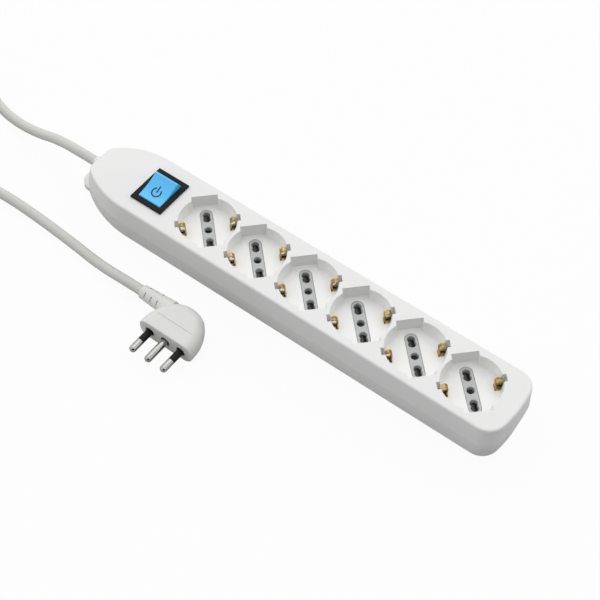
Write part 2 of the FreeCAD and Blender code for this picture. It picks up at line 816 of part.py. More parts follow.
def make_earth_frame():
    """Earth bracket of one socket: cross strip, centre sleeve, two risers with their side clips."""
    half_t = strip_thickness / 2
    low = earth_bar_level + strip_thickness + half_t
    base_z = recess_z - clip_sink
    cross = bent_strip([(-clip_riser_radius, base_z), (-clip_riser_radius, low),
                        (clip_riser_radius, low), (clip_riser_radius, base_z)],
                       1.4, strip_thickness, clip_width)
    tip_z = recess_z + clip_height
    clip = bent_strip([
        (clip_outer_radius, recess_z - 0.1), (clip_outer_radius - 0.2, base_z), (clip_inner_radius, base_z),
        (clip_inner_radius, tip_z - 2.3), (clip_inner_radius + 2.0, tip_z - half_t),
        (clip_inner_radius + 4.1, tip_z - 1.5)], 0.9, strip_thickness, clip_width)
    for side in (-1, 1):
        clip = clip.cut(hook_trim(side))
    sleeve = post(earth_sleeve_radius, low, chamber_low - 0.4)
    sleeve = sleeve.cut(post(earth_pin_radius, low + half_t, chamber_low + 1))
    sleeve = sleeve.cut(block(-0.4, 0.4, -5, 5, low + 3.0, chamber_low + 1))
    solid = joined([cross, clip, turned(clip, 180), sleeve])
    return turned(solid, 90)


def contact_clip(side):
    """Two sprung leaves for a line pin, in the socket's own frame."""
    leaf_low = bar_top - strip_thickness / 2
    half_gap = contact_gap / 2 + contact_leaf / 2
    leaf_top = chamber_low - 0.5
    wide = half_gap + 1.2
    clip = bent_strip([(-wide + 0.1, leaf_top), (-half_gap, leaf_top - 2.4), (-wide, bar_top + 1.9),
                       (-wide, leaf_low), (wide, leaf_low), (wide, bar_top + 1.9),
                       (half_gap, leaf_top - 2.4), (wide - 0.1, leaf_top)],
                      0.7, contact_leaf, contact_length)
    return moved(turned(clip, 90), side * contact_middle)


def make_line_bar(side):
    """Brass bar along the row with a two-leaf contact at each socket; side +1 is live."""
    y = side * bar_offset
    parts = [block(socket_x[0] - bar_tail, socket_x[-1] + contact_middle,
                   y - bar_width / 2, y + bar_width / 2, bar_level, bar_top)]
    for x in socket_x:
        clip = at_socket(contact_clip(-side), x)
        parts.append(clip)
    return joined(parts)


def make_earth_bar():
    half = earth_bar_width / 2
    bar = block(socket_x[0] - bar_tail, socket_x[-1] + 8.0, -half, half, earth_bar_level,
                earth_bar_level + strip_thickness)
    for x in socket_x:
        bar = bar.cut(post(0.9, 0, 12, x + 5.4)).cut(post(0.9, 0, 12, x - 5.4))
    return bar


# ---------------------------------------------------------------- switch
pivot_z = top_z + bezel_height - rocker_pivot_drop
switch_floor_z = top_z - switch_body_drop


def make_switch_frame():
    bezel = block(x_switch - bezel_length_x / 2, x_switch + bezel_length_x / 2, -bezel_length_y / 2,
                  bezel_length_y / 2, top_z, top_z + bezel_height)
    rim = edges_at(bezel, lambda e: e.BoundBox.ZMin > top_z + bezel_height - 0.001)
    bezel = bezel.makeChamfer(0.35, rim)
    body = block(x_switch - switch_body_x / 2, x_switch + switch_body_x / 2, -switch_body_y / 2,
                 switch_body_y / 2, switch_floor_z, top_z + 0.5)
    solid = joined([bezel, body])
    half_x = rocker_half_x + rocker_side_gap
    opening = block(x_switch - half_x, x_switch + half_x, -rocker_opening_half_y, rocker_opening_half_y,
                    switch_floor_z + 1.6, top_z + bezel_height + 1)
    solid = solid.cut(opening)
    bore_r = trunnion_radius + trunnion_fit
    solid = solid.cut(rod_x(bore_r, x_switch - half_x - trunnion_length - 0.1,
                            x_switch + half_x + trunnion_length + 0.1, 0, pivot_z))
    divider = block(x_switch - 0.8, x_switch + 0.8, -5.5, rocker_opening_half_y,
                    switch_floor_z + 1.5, pivot_z - rocker_radius + 1.2)
    solid = joined([solid, divider])
    for pole in (-pole_offset, pole_offset):
        for y in (0, tab_spread):
            hole = block(x_switch + pole - tab_width / 2 * 0.62, x_switch + pole + tab_width / 2 * 0.62,
                         y - 0.5, y + 0.5, switch_floor_z - 1, switch_floor_z + 3)
            solid = solid.cut(hole)
    return solid


lever_axis_z = pivot_z - plunger_reach - 0.45
shoulder_z = lever_shoulder * math.tan(math.radians(lever_rise))
lever_end_z = lever_axis_z + shoulder_z * math.cos(math.radians(lever_tilt))
lever_end_z = lever_end_z - lever_shoulder * math.sin(math.radians(lever_tilt))
pad_top = lever_end_z - lever_thickness / 2 - contact_clearance


def make_switch_terminals():
    """Four tabs: for each pole a middle one that carries the lever and one it makes contact with."""
    parts = []
    half_w = tab_width / 2 * 0.6
    for pole in (-pole_offset, pole_offset):
        for y in (0, tab_spread):
            x = x_switch + pole
            high = lever_axis_z - lever_thickness / 2 - contact_clearance if y == 0 else pad_top - 0.6
            stem = block(x - half_w, x + half_w, y - 0.4, y + 0.4, switch_floor_z - tab_drop, high)
            hole = Part.makeCylinder(0.9, 4, V(x, y - 2, switch_floor_z - tab_drop + 3), V(0, 1, 0))
            stem = stem.cut(hole)
            if y:
                pad = Part.makeCylinder(1.4, 0.6, V(x, y, high))
                stem = joined([stem, pad])
            parts.append(stem)
    return group(parts)


def make_contact_levers():
    """Two see-saw blades, at rest tipped on to their contacts."""
    lip = tab_spread + 1.4
    lip_z = shoulder_z + (lip - lever_shoulder) * math.tan(math.radians(lever_tilt))
    tail_z = lever_tail * math.tan(math.radians(lever_rise))
    parts = []
    for pole in (-pole_offset, pole_offset):
        blade = bent_strip([(-lever_tail, tail_z), (0.0, 0.0), (lever_shoulder, shoulder_z), (lip, lip_z)],
                           1.2, lever_thickness, lever_width)
        blade = turned(blade, 90)
        blade = turned(blade, -lever_tilt, V(0, 0, 0), V(1, 0, 0))
        parts.append(moved(blade, x_switch + pole, 0, lever_axis_z))
    return group(parts)


def make_rocker():
    """Blue rocker: dished top, round end faces about its pivot, hollow below; drawn at rest."""
    angle = math.radians(rocker_corner_angle)
    cy = rocker_radius * math.cos(angle)
    cz = rocker_radius * math.sin(angle)
    foot = math.radians(-rocker_foot_angle)
    fy = rocker_radius * math.cos(foot)
    fz = rocker_radius * math.sin(foot)
    x0 = -rocker_half_x

    def profile(shrink, dish_drop):
        r = rocker_radius - shrink
        y1 = r * math.cos(angle)
        z1 = r * math.sin(angle) - dish_drop
        edge_a = math.atan2(z1, math.sqrt(max(r * r - z1 * z1, 0.0)))
        y1 = r * math.cos(edge_a)
        fy1 = r * math.cos(foot)
        fz1 = r * math.sin(foot)
        mid_a = (edge_a + foot) / 2
        my = r * math.cos(mid_a)
        mz = r * math.sin(mid_a)
        edges = [
            arc(V(x0, -y1, z1), V(x0, 0, z1 - rocker_dish), V(x0, y1, z1)),
            arc(V(x0, y1, z1), V(x0, my, mz), V(x0, fy1, fz1)),
            line(V(x0, fy1, fz1), V(x0, -fy1, fz1)),
            arc(V(x0, -fy1, fz1), V(x0, -my, mz), V(x0, -y1, z1)),
        ]
        return Part.Face(Part.Wire(edges))

    outer = profile(0, 0).extrude(V(2 * rocker_half_x, 0, 0))
    crest = edges_at(outer, lambda e: e.BoundBox.ZMin > cz - rocker_dish * 1.5)
    outer = outer.makeFillet(0.7, crest)
    inner = profile(rocker_shell, rocker_shell).extrude(V(2 * rocker_half_x - 2 * rocker_shell, 0, 0))
    inner = moved(inner, x=rocker_shell, z=-0.01)
    low = block(x0 + rocker_shell, rocker_half_x - rocker_shell, -fy + rocker_shell * 1.2,
                fy - rocker_shell * 1.2, fz - 1, fz + 1)
    shell = outer.cut(inner).cut(low)
    parts = [shell]
    tip = trunnion_length
    for side in (-1, 1):
        start = side * (rocker_half_x - rocker_shell)
        end = side * (rocker_half_x + tip)
        parts.append(rod_x(trunnion_radius, min(start, end), max(start, end)))
    for pole in (-pole_offset, pole_offset):
        parts.append(Part.makeCylinder(plunger_radius + 1.0, 5.6 + 4.0, V(pole, 0, -5.6)))
    solid = joined(parts)
    for pole in (-pole_offset, pole_offset):
        solid = solid.cut(Part.makeCylinder(plunger_radius + 0.1, 8.0, V(pole, 0, -7.0)))
    return place_rocker(solid)


def place_rocker(shape):
    tipped = turned(shape, rocker_tilt, V(0, 0, 0), V(1, 0, 0))
    return moved(tipped, x_switch, 0, pivot_z)


def make_rocker_plungers():
    parts = []
    for pole in (-pole_offset, pole_offset):
        stem = Part.makeCylinder(plunger_radius, plunger_reach - plunger_radius - 0.4,
                                 V(pole, 0, -plunger_reach + plunger_radius))
        tip = Part.makeSphere(plunger_radius, V(pole, 0, -plunger_reach + plunger_radius))
        parts.append(place_rocker(joined([stem, tip])))
    return group(parts)


def make_lamp():
    """Small neon lamp lying in the switch below the rocker."""
    z = switch_floor_z + 1.6 + 1.9
    y = -rocker_opening_half_y + 2.6
    glass = Part.makeCylinder(1.8, 9.0, V(x_switch - 4.5, y, z), V(1, 0, 0))
    return joined([glass, Part.makeSphere(1.8, V(x_switch + 4.5, y, z))])


# ---------------------------------------------------------------- lead inlet
def make_gland():
    x_out = x_nose_seam - gland_reach
    flange_top = cord_level + gland_neck_radius + 0.3
    lean = (flange_top - base_height) / cover_height * nose_flare_cover
    x_wall = x_nose_seam + wall + lean + 0.3
    sleeve = rod_x(gland_neck_radius, x_out, x_wall + gland_tail, 0, cord_level)
    flange = rod_x(gland_flange_radius, x_wall + 0.1, x_wall + 2.1, 0, cord_level)
    flange = flange.common(block(x_wall, x_wall + 5, -10, 10, base_height + 0.1, flange_top))
    mouth = edges_at(sleeve, lambda e: e.BoundBox.XMax < x_out + 0.001)
    sleeve = sleeve.makeFillet(0.9, mouth)
    solid = joined([sleeve, flange])
    return solid.cut(rod_x(cord_diameter / 2, x_out - 1, x_wall + gland_tail + 1, 0, cord_level))


def make_cord_clamp():
    x = x_nose + clamp_gap
    half = clamp_length / 2
    high = cord_level + cord_diameter / 2 + clamp_thickness
    reach = clamp_screw_spread + 3.0
    low = cord_level + 0.15
    ears = block(x - half, x + half, -reach, reach, low, low + clamp_thickness)
    hump = rod_x(cord_diameter / 2 + clamp_thickness, x - half, x + half, 0, cord_level)
    hump = hump.common(block(x - half, x + half, -reach, reach, low, high + 1))
    solid = joined([ears, hump])
    solid = solid.cut(rod_x(cord_diameter / 2 + 0.02, x - half - 1, x + half + 1, 0, cord_level))
    for side in (-1, 1):
        solid = solid.cut(post(screw_radius + 0.2, low - 1, high + 1, x, side * clamp_screw_spread))
    return solid


def make_clamp_screws():
    x = x_nose + clamp_gap
    seat = cord_level + 0.15 + clamp_thickness
    screws = []
    for side in (-1, 1):
        y = side * clamp_screw_spread
        head = post(screw_head_radius, seat, seat + screw_head_height, x, y)
        shank = post(screw_radius, cord_level - 8, seat + 0.2, x, y)
        drive = post(1.2, seat + 0.8, seat + screw_head_height + 1, x, y)
        screws.append(joined([head, shank]).cut(drive))
    return group(screws)


x_sheath_end = x_nose + sheath_end_gap


def make_cord_entry():
    """The stretch of lead that the housing holds, from the gland's mouth to the end of the sheath."""
    return rod_x(cord_diameter / 2, x_nose_seam - gland_reach, x_sheath_end, 0, cord_level)


def core(points):
    edges, radii = route_path(points)
    path = Part.Wire(edges)
    ahead = V(*points[1]) - V(*points[0])
    section = Part.Wire(Part.makeCircle(core_diameter / 2, V(*points[0]), ahead))
    return path.makePipeShell([section], True, False)


core_low = floor_wall + core_diameter / 2 + 0.4
core_on_bar = bar_top + core_diameter / 2
tab_end_z = switch_floor_z - tab_drop


def make_live_cores():
    """Brown cores: sheath end to the live pole's rear tab, and its middle tab to the live bar."""
    xp = x_switch - pole_offset
    x0 = x_sheath_end
    feed = core([(x0, 1.6, cord_level + 0.9), (x0 + 6, 1.6, cord_level + 0.9),
                 (x0 + 11, 4.0, cord_level - 6),
                 (x0 + 13, 7.2, tab_end_z + 3), (x0 + 17, 9.2, core_low + 1.6), (xp - 4, 9.4, core_low),
                 (xp, tab_spread + 0.2, core_low + 0.6), (xp, tab_spread, tab_end_z)])
    x1 = socket_x[0] - bar_tail
    out = core([(xp, 0, tab_end_z), (xp + 0.2, 0.4, core_low + 0.6), (xp + 5, 3.6, core_low + 0.2),
                (xp + 12, 5.4, core_low + 3.0), (x1 - 3.5, 6.2, core_on_bar - 0.6),
                (x1 + 3.5, bar_offset, core_on_bar)])
    return group([feed, out])


def make_neutral_cores():
    """Blue cores: sheath end to the neutral pole's middle tab, and its rear tab to the neutral bar."""
    xp = x_switch + pole_offset
    x0 = x_sheath_end
    feed = core([(x0, -1.7, cord_level + 0.6), (x0 + 6, -1.7, cord_level + 0.6),
                 (x0 + 11, -4.5, cord_level - 6),
                 (x0 + 13, -8.0, tab_end_z + 3), (x0 + 17, -9.6, core_low + 1.4),
                 (x_switch - 4, -9.0, core_low),
                 (xp - 3, -5.6, core_low), (xp - 0.3, -0.8, core_low + 0.2), (xp, 0, tab_end_z)])
    x1 = socket_x[0] - bar_tail
    out = core([(xp, tab_spread, tab_end_z), (xp + 0.6, tab_spread - 0.4, core_low + 0.6),
                (xp + 3.8, 4.0, core_low), (xp + 4.2, -3.0, core_low), (x1 - 2.5, -6.0, core_low + 3.4),
                (x1 + 3.5, -bar_offset, core_on_bar)])
    return group([feed, out])


def make_earth_core():
    """Green and yellow core: sheath end to the earth bar's tail."""
    x0 = x_sheath_end
    x1 = socket_x[0] - bar_tail
    low = earth_bar_level + strip_thickness + core_diameter / 2
    return core([(x0, 0.0, cord_level - 1.9), (x0 + 5, 0.0, cord_level - 1.9),
                 (x0 + 9, -0.8, cord_level - 9),
                 (x0 + 13, -2.6, tab_end_z + 2), (x0 + 22, -4.6, low + 2.2), (x_switch + 2, -4.8, low + 2.0),
                 (x_switch + 10, -2.4, low + 1.8), (x1 + 1.0, 0.0, low)])


# ---------------------------------------------------------------- lead, coil and plug
coil_middle = (-330.0, -20.0)
coil_radius = 38.5
coil_low_columns = 3
coil_top_columns = 2
coil_slack = 0.25           # the coil's outer shape stands this far round its turns
coil_step = cord_diameter * math.sqrt(0.75)     # rise from one layer to the one nested in it
relief_y = 22.0             # plug face to the lead's axis
plug_z = plug_body_thickness / 2
floor_level = cord_diameter / 2


def gland_lead_route():
    """Chosen by hand: out of the gland, down to the table and away to the coil."""
    return [
        (x_nose_seam - gland_reach, 0.0, cord_level),
        (-184.0, 0.0, cord_level),
        (-206.0, 2.6, 20.4),
        (-228.0, 4.0, 11.0),
        (-249.0, 5.6, 5.4),
        (-270.0, 8.6, floor_level),
        (-290.0, 15.8, floor_level + 0.2),
        (-310.0, 24.6, floor_level + 0.15),
        (-330.0, -20.0 + coil_radius + cord_diameter, floor_level + 0.2),
    ]


def plug_lead_route():
    """Chosen by hand: off the top of the coil, down to the table and along it to the plug."""
    px, py = plug_place
    end_x = px - plug_body_width / 2 * 0.78 - plug_relief_length
    return [
        (-330.0, -20.0 - coil_radius - cord_diameter / 2, floor_level + coil_step),
        (-302.0, -62.0, floor_level + coil_step + 1.2),
        (-275.0, -58.6, floor_level + 3.4),
        (-246.0, -52.8, floor_level),
        (-214.0, -49.0, floor_level + 0.3),
        (-178.0, -49.8, floor_level),
        (-144.0, -52.4, floor_level + 0.2),
        (-116.0, -55.4, floor_level + 0.9),
        (end_x - 14.0, py + relief_y, plug_z),
        (end_x, py + relief_y, plug_z),
    ]


def make_cord_coil():
    """Outer shape of the neat round coil: three turns side by side and two more lying on them."""
    low_half = coil_low_columns * cord_diameter / 2 + coil_slack
    top_half = coil_top_columns * cord_diameter / 2 + coil_slack
    low_z = cord_diameter + coil_slack
    high_z = low_z + coil_step
    low = post(coil_radius + low_half, 0, low_z).cut(post(coil_radius - low_half, -1, low_z + 1))
    low = low.makeFillet(cord_diameter * 0.45, edges_at(low, lambda e: e.BoundBox.ZLength < 0.001))
    top = post(coil_radius + top_half, low_z / 2, high_z)
    top = top.cut(post(coil_radius - top_half, -1, high_z + 1))
    top = top.makeFillet(cord_diameter * 0.45, edges_at(top, lambda e: e.BoundBox.ZMin > high_z - 0.001))
    return moved(joined([low, top]), coil_middle[0], coil_middle[1])


def plug_outline(inset, z):
    """D-shaped plan: straight pin face towards -Y, round back, in the plug's own frame."""
    half = plug_body_width / 2 - inset
    depth = plug_body_depth - inset
    shoulder = plug_face_depth
    y0 = inset
    back_mid = V(0, depth, z)
    return Part.Wire([
        line(V(-half, y0, z), V(half, y0, z)),
        line(V(half, y0, z), V(half, shoulder, z)),
        arc(V(half, shoulder, z), V(half * 0.86, shoulder + (depth - shoulder) * 0.5, z),
            V(half * 0.55, shoulder + (depth - shoulder) * 0.86, z)),
        arc(V(half * 0.55, shoulder + (depth - shoulder) * 0.86, z), back_mid,
            V(-half * 0.55, shoulder + (depth - shoulder) * 0.86, z)),
        arc(V(-half * 0.55, shoulder + (depth - shoulder) * 0.86, z),
            V(-half * 0.86, shoulder + (depth - shoulder) * 0.5, z), V(-half, shoulder, z)),
        line(V(-half, shoulder, z), V(-half, y0, z)),
    ])


def at_plug(shape):
    return moved(turned(shape, plug_turn), plug_place[0], plug_place[1], plug_z)


def make_plug_body():
    half_t = plug_body_thickness / 2
    solid = Part.Face(plug_outline(0, -half_t)).extrude(V(0, 0, plug_body_thickness))
    long_edges = edges_at(solid, lambda e: e.BoundBox.ZLength < 0.001 and e.BoundBox.YMax > 0.001)
    solid = solid.makeFillet(plug_edge_round, long_edges)
    solid = solid.makeFillet(plug_face_round, edges_at(solid, lambda e: e.BoundBox.YMax < 0.001))
    groove = block(-plug_body_width, plug_body_width, plug_groove_y, plug_groove_y + plug_groove_width,
                   half_t - plug_groove_depth, half_t + 1)
    solid = solid.cut(groove)
    for i in (-1, 0, 1):
        hole = Part.makeCylinder(plug_carrier_radius, 9.0, V(i * plug_pin_spacing, -1, 0), V(0, 1, 0))
        solid = solid.cut(hole)
    inner = rod_x(plug_relief_start + 1, -plug_body_width, -plug_body_width / 2 * 0.55, relief_y, 0)
    solid = solid.cut(relief_solid(0.0).common(inner))
    return at_plug(solid)


def relief_solid(grow):
    """Tapered strain relief from inside the body's side to the lead, in the plug's own frame."""
    x_in = -plug_body_width / 2 * 0.55
    x_out = -plug_body_width / 2 * 0.78 - plug_relief_length
    return Part.makeCone(plug_relief_end + grow, plug_relief_start + grow, x_in - x_out,
                         V(x_out, relief_y, 0), V(1, 0, 0))


def make_plug_relief():
    x_out = -plug_body_width / 2 * 0.78 - plug_relief_length
    x_in = -plug_body_width / 2 * 0.55
    solid = relief_solid(0.0)
    mouth = edges_at(solid, lambda e: e.BoundBox.XMax < x_out + 0.001)
    solid = solid.makeFillet(1.0, mouth)
    taper = (plug_relief_start - plug_relief_end) / (x_in - x_out)
    for i in range(3):
        x = x_out + relief_slot_first + i * relief_slot_pitch
        floor = plug_relief_end + taper * (x - x_out) - relief_slot_depth
        for turn in (45, 135, 225, 315):
            slot = block(x, x + relief_slot_width, -relief_slot_length / 2, relief_slot_length / 2,
                         floor, plug_relief_start + 4)
            solid = solid.cut(moved(turned(slot, turn, V(x, 0, 0), V(1, 0, 0)), y=relief_y))
    low = block(x_out - 1, x_in + 1, relief_y - 9, relief_y + 9, -plug_z - 5, -plug_z)
    return at_plug(solid.cut(low))


def make_plug_carrier():
    """Black inner part that holds the three pins, seen as a ring round each."""
    rings = []
    for i in (-1, 0, 1):
        x = i * plug_pin_spacing
        ring = Part.makeCylinder(plug_carrier_radius, 7.6, V(x, 0.4, 0), V(0, 1, 0))
        rings.append(ring.cut(Part.makeCylinder(plug_pin_radius, 12, V(x, -1, 0), V(0, 1, 0))))
    return at_plug(group(rings))


def plug_pin(i, neck):
    """A round pin with a domed tip; neck is its smaller radius under an insulating sleeve."""
    x = i * plug_pin_spacing
    body = Part.makeCylinder(plug_pin_radius, plug_pin_length + 8.0, V(x, 8.0, 0), V(0, -1, 0))
    tip = edges_at(body, lambda e: e.BoundBox.YMax < -plug_pin_length + 0.01)
    body = body.makeFillet(plug_pin_radius * 0.86, tip)
    if neck:
        ring = Part.makeCylinder(plug_pin_radius + 1, plug_sleeve_length + 0.4, V(x, 0.4, 0), V(0, -1, 0))
        body = body.cut(ring.cut(Part.makeCylinder(neck, plug_sleeve_length + 2, V(x, 1, 0), V(0, -1, 0))))
    return body


def pin_sleeve(i):
    x = i * plug_pin_spacing
    sleeve = Part.makeCylinder(plug_pin_radius, plug_sleeve_length + 0.4, V(x, 0.4, 0), V(0, -1, 0))
    return sleeve.cut(Part.makeCylinder(2.0, plug_sleeve_length + 2, V(x, 1, 0), V(0, -1, 0)))


# ---------------------------------------------------------------- build
def build():
    nodes = {}
    nodes["top_cover"] = make_top_cover()
    for i in range(socket_count):
        nodes["socket_well_" + str(i + 1)] = make_well(i)
    nodes["base_cover"] = make_base_cover()
    nodes["housing_screws"] = make_housing_screws()
    insert = make_insert()
    shutter = make_shutter()
    leaf = make_shutter_leaf()
    earth = make_earth_frame()
    for i, x in enumerate(socket_x):
        number = str(i + 1)
        nodes["socket_insert_" + number] = at_socket(insert, x)
        nodes["shutter_" + number] = at_socket(shutter, x)
        nodes["shutter_spring_" + number] = at_socket(leaf, x)
        nodes["earth_bracket_" + number] = at_socket(earth, x)
    nodes["live_bar"] = make_line_bar(1)
    nodes["neutral_bar"] = make_line_bar(-1)
    nodes["earth_bar"] = make_earth_bar()
    nodes["switch_frame"] = make_switch_frame()
    nodes["switch_terminals"] = make_switch_terminals()
    nodes["switch_contact_levers"] = make_contact_levers()
    nodes["switch_rocker"] = make_rocker()
    nodes["rocker_plungers"] = make_rocker_plungers()
    nodes["switch_lamp"] = make_lamp()
    nodes["cord_gland"] = make_gland()
    nodes["cord_clamp"] = make_cord_clamp()
    nodes["clamp_screws"] = make_clamp_screws()
    nodes["cord_entry"] = make_cord_entry()
    nodes["live_cores"] = make_live_cores()
    nodes["neutral_cores"] = make_neutral_cores()
    nodes["earth_core"] = make_earth_core()
    nodes["gland_lead"] = tube(gland_lead_route(), cord_diameter, "gland lead")
    nodes["cord_coil"] = make_cord_coil()
    nodes["plug_lead"] = tube(plug_lead_route(), cord_diameter, "plug lead")
    nodes["plug_body"] = make_plug_body()
    nodes["plug_strain_relief"] = make_plug_relief()
    nodes["plug_pin_carrier"] = make_plug_carrier()
    nodes["plug_live_pin"] = at_plug(plug_pin(-1, 2.0))
    nodes["plug_earth_pin"] = at_plug(plug_pin(0, 0))
    nodes["plug_neutral_pin"] = at_plug(plug_pin(1, 2.0))
    nodes["plug_pin_sleeves"] = at_plug(group([pin_sleeve(-1), pin_sleeve(1)]))
    os.makedirs("parts", exist_ok=True)
    for name, shape in nodes.items():
        print(name, len(shape.Solids), "solids", round(shape.Volume, 1), shape.isValid())
        shape.exportStep("parts/" + name + ".step")


build()
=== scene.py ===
"""Six-way power strip: materials, lead, printed mark and stage, laid out as an add-on."""
import math

import bmesh
import bpy
from bpy.props import FloatProperty, FloatVectorProperty, IntProperty, PointerProperty
from mathutils import Matrix, Vector


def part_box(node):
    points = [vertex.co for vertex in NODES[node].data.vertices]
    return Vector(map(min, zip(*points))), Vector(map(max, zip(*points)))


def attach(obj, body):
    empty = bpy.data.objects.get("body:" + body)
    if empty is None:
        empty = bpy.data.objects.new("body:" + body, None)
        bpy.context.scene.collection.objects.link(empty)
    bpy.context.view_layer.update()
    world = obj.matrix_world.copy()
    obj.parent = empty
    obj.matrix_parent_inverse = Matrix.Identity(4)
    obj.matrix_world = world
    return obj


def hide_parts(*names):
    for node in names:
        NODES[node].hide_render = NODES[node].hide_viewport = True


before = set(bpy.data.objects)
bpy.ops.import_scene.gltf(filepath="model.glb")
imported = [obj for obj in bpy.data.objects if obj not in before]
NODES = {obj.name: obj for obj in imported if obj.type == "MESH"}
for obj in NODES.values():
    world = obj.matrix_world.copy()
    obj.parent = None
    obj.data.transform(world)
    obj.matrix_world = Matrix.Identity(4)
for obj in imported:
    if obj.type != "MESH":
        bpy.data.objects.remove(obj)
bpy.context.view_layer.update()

bl_info = {
    "name": "Power Strip",
    "version": (1, 0, 0),
    "blender": (4, 5, 0),
    "location": "3D View > Sidebar > Power Strip",
    "description": "Finishes, lead and printed mark for a six-way power strip",
    "category": "Object",
}

MM = 0.001
WHITE = (1, 1, 1, 1)


# ---------------------------------------------------------------- settings
COLOUR = {"subtype": "COLOR", "size": 4, "min": 0, "max": 1}


class HousingSettings(bpy.types.PropertyGroup):
    """Colours of the moulded shells."""
    shell: FloatVectorProperty(name="Housing", description="White of the two covers",
                               default=(0.80, 0.80, 0.795, 1), **COLOUR)
    # Lighter than the shell: painted light that stands in for the light bouncing inside the white socket
    # recesses.
    well: FloatVectorProperty(name="Well", description="White of the socket wells",
                              default=(0.88, 0.88, 0.868, 1), **COLOUR)
    insert: FloatVectorProperty(name="Insert", description="Grey of the socket inserts",
                                default=(0.50, 0.51, 0.515, 1), **COLOUR)
    shutter: FloatVectorProperty(name="Shutter", description="Grey of the shutters",
                                 default=(0.085, 0.082, 0.075, 1), **COLOUR)
    grain: FloatProperty(name="Grain", description="Height of the moulded grain", subtype="DISTANCE",
                         unit="LENGTH", min=0, max=0.0002, default=0.000008, precision=6)


class SwitchSettings(bpy.types.PropertyGroup):
    """Colours and mark of the rocker switch."""
    rocker: FloatVectorProperty(name="Rocker", description="Blue of the rocker",
                                default=(0.080, 0.55, 1.0, 1), **COLOUR)
    bezel: FloatVectorProperty(name="Bezel", description="Black of the bezel",
                               default=(0.012, 0.012, 0.014, 1), **COLOUR)
    mark: FloatVectorProperty(name="Mark", description="Dark blue of the printed mark",
                              default=(0.004, 0.008, 0.020, 1), **COLOUR)
    ring_radius: FloatProperty(name="Ring radius", description="Middle radius of the mark's ring",
                               unit="LENGTH", default=3.32 * MM)
    stroke: FloatProperty(name="Stroke", description="Width of the mark's lines", unit="LENGTH",
                          default=1.0 * MM)
    gap_left: FloatProperty(name="Gap left", description="Where the ring ends, left of its bar",
                            subtype="ANGLE", default=math.radians(30))
    gap_right: FloatProperty(name="Gap right", description="Where the ring ends, right of its bar",
                             subtype="ANGLE", default=math.radians(46))
    bar_end: FloatProperty(name="Bar end", description="How far the mark's bar reaches from its middle",
                           unit="LENGTH", default=5.1 * MM)
    mark_shift: FloatProperty(name="Mark shift", description="The mark's middle, along the rocker",
                              unit="LENGTH", default=-2.0 * MM)


class LeadSettings(bpy.types.PropertyGroup):
    """Sizes and colours of the lead and its plug."""
    diameter: FloatProperty(name="Diameter", description="Outer diameter of the lead", unit="LENGTH",
                            default=7.3 * MM)
    length: FloatProperty(name="Length", description="Length from the gland to the plug", unit="LENGTH",
                          default=1.51)
    sheath: FloatVectorProperty(name="Sheath", description="Pale grey of the sheath",
                                default=(0.61, 0.61, 0.58, 1), **COLOUR)
    turn_points: IntProperty(name="Points a turn", description="Control points in each turn of the coil",
                             min=12, max=32, default=16)
    plug: FloatVectorProperty(name="Plug", description="Off-white of the plug",
                              default=(0.72, 0.72, 0.70, 1), **COLOUR)


class StageSettings(bpy.types.PropertyGroup):
    """Camera and light."""
    azimuth: FloatProperty(name="Azimuth", description="Camera's turn about the strip", subtype="ANGLE",
                           default=math.radians(37.293))
    elevation: FloatProperty(name="Elevation", description="Camera's height above the horizon",
                             subtype="ANGLE", default=math.radians(54.369))
    roll: FloatProperty(name="Roll", description="Camera's turn about its own axis", subtype="ANGLE",
                        default=math.radians(-0.161))
    lens: FloatProperty(name="Lens", description="Focal length in millimetres", default=88.104)
    key: FloatProperty(name="Key", description="Power of the key light", subtype="POWER", default=5.0)
    sky: FloatProperty(name="Sky", description="Strength of the surrounding light", default=1.08)
    dim: FloatProperty(name="Dim side", description="What is left of that light on the viewer's side",
                       subtype="FACTOR", min=0, max=1, default=0.0)


GROUPS = (
    ("strip_housing", HousingSettings),
    ("strip_switch", SwitchSettings),
    ("strip_lead", LeadSettings),
    ("strip_stage", StageSettings),
)


# ---------------------------------------------------------------- small helpers
def deselect_all():
    if bpy.context.object and bpy.context.object.mode != "OBJECT":
        bpy.ops.object.mode_set(mode="OBJECT")
    bpy.ops.object.select_all(action="DESELECT")


def make_active(obj):
    deselect_all()
    obj.select_set(True)
    bpy.context.view_layer.objects.active = obj


def settle(obj, name, material, smooth_angle=40):
    """Apply transforms and modifiers, smooth, and give the piece its name and finish."""
    make_active(obj)
    bpy.ops.object.transform_apply(location=True, rotation=True, scale=True)
    for modifier in list(obj.modifiers):
        bpy.ops.object.modifier_apply(modifier=modifier.name)
    bpy.ops.object.shade_smooth_by_angle(angle=math.radians(smooth_angle))
    obj.name = name
    obj.data.name = name
    obj.data.materials.clear()
    obj.data.materials.append(material)


def dress(node_names, material):
    """Give CAD nodes a finish."""
    for name in node_names:
        obj = NODES[name]
        if not obj.material_slots:
            obj.data.materials.append(material)
        for slot in obj.material_slots:
            slot.material = material


# ---------------------------------------------------------------- shader groups
def wire(tree, node, inputs):
    """Give each input of a node its value, or a link where another node's output is given."""
    for socket, value in inputs.items():
        if isinstance(value, bpy.types.NodeSocket):
            tree.links.new(value, node.inputs[socket])
        else:
            node.inputs[socket].default_value = value


def add_node(tree, kind, inputs=None, **options):
    """Add a shader node, with its options set before its inputs."""
    node = tree.nodes.new("ShaderNode" + kind)
    for option, value in options.items():
        setattr(node, option, value)
    wire(tree, node, inputs or {})
    return node


